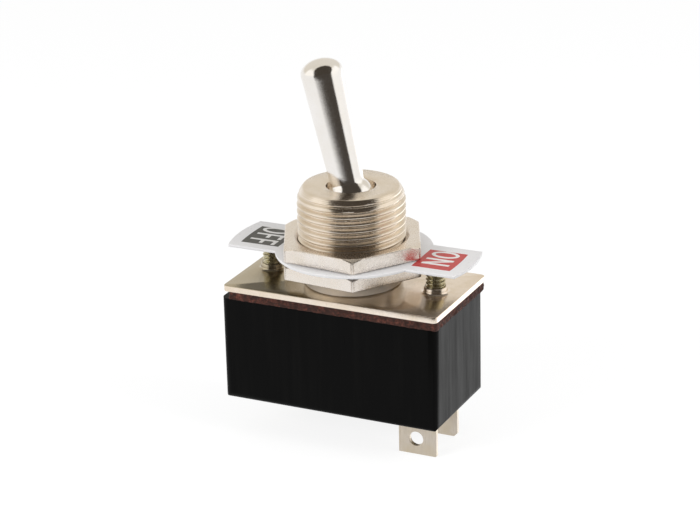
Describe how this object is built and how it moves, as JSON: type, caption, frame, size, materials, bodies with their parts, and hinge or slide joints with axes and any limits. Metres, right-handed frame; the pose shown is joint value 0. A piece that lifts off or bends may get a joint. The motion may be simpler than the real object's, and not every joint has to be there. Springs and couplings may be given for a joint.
{
  "type": "panel toggle switch",
  "caption": "Bat-lever on-off toggle switch with a threaded panel bushing, two hex nuts, an on-off label plate and solder lugs under a moulded housing.",
  "frame": {"origin": "on the bushing axis at the outer face of the upper nut, where the free thread starts", "axes": "+Z along the bushing towards the lever; +X along the housing towards the solder lugs and the ON end; -Y is the front long side"},
  "size_m": [0.0281, 0.0174, 0.0431],
  "materials": {
    "phenolic_black": "black phenolic moulding, semi-gloss",
    "fibre_brown": "dark red-brown vulcanised fibre, ragged cut edge",
    "plate_steel": "nickel-plated steel sheet, satin",
    "bushing_nickel": "nickel-plated brass, turned",
    "nut_nickel": "nickel-plated steel, bright",
    "lever_chrome": "bright plated, polished",
    "spring_steel": "drawn wire",
    "brass_plain": "plain brass, turned",
    "acetal_cream": "natural moulded plastic",
    "copper_contact": "bare copper alloy",
    "lug_tin": "tinned brass, dull",
    "screw_zinc": "yellowish zinc plate",
    "label_white": "white lacquered sheet, printed"
  },
  "bodies": {
    "base": {"housing": "phenolic_black", "insulator": "fibre_brown", "cover_plate": "plate_steel", "bushing": "bushing_nickel", "pin_keeper": "brass_plain", "terminal_front": "lug_tin", "terminal_back": "lug_tin", "screw_left": "screw_zinc", "screw_right": "screw_zinc", "lower_nut": "nut_nickel", "label_plate": "label_white", "upper_nut": "nut_nickel"},
    "lever": {"lever": "lever_chrome", "pivot_pin": "spring_steel", "lever_spring": "spring_steel"},
    "plunger": {"plunger": "acetal_cream"},
    "roller": {"contact_roller": "copper_contact"}
  },
  "joints": [
    {"name": "lever_throw", "type": "hinge", "parent": "base", "child": "lever", "pos_m": [0, 0, 0.004], "axis": [0, 1, 0], "range_deg": [0, 25.66]},
    {"name": "plunger_slide", "type": "slide", "parent": "lever", "child": "plunger", "axis": [-0.2221, 0, 0.975], "range_m": [0, 0.001], "stiffness_N_per_m": 300, "springref_m": -0.003, "deforming": ["lever_spring"]},
    {"name": "roller_roll", "type": "hinge", "parent": "plunger", "child": "roller", "pos_m": [0.00424, 0, -0.01462], "axis": [0, 1, 0], "range_deg": [-410.4, 0]}
  ],
  "couplings": [
    {"joint": "roller_roll", "follows": "lever_throw", "ratio": -15.94}
  ]
}
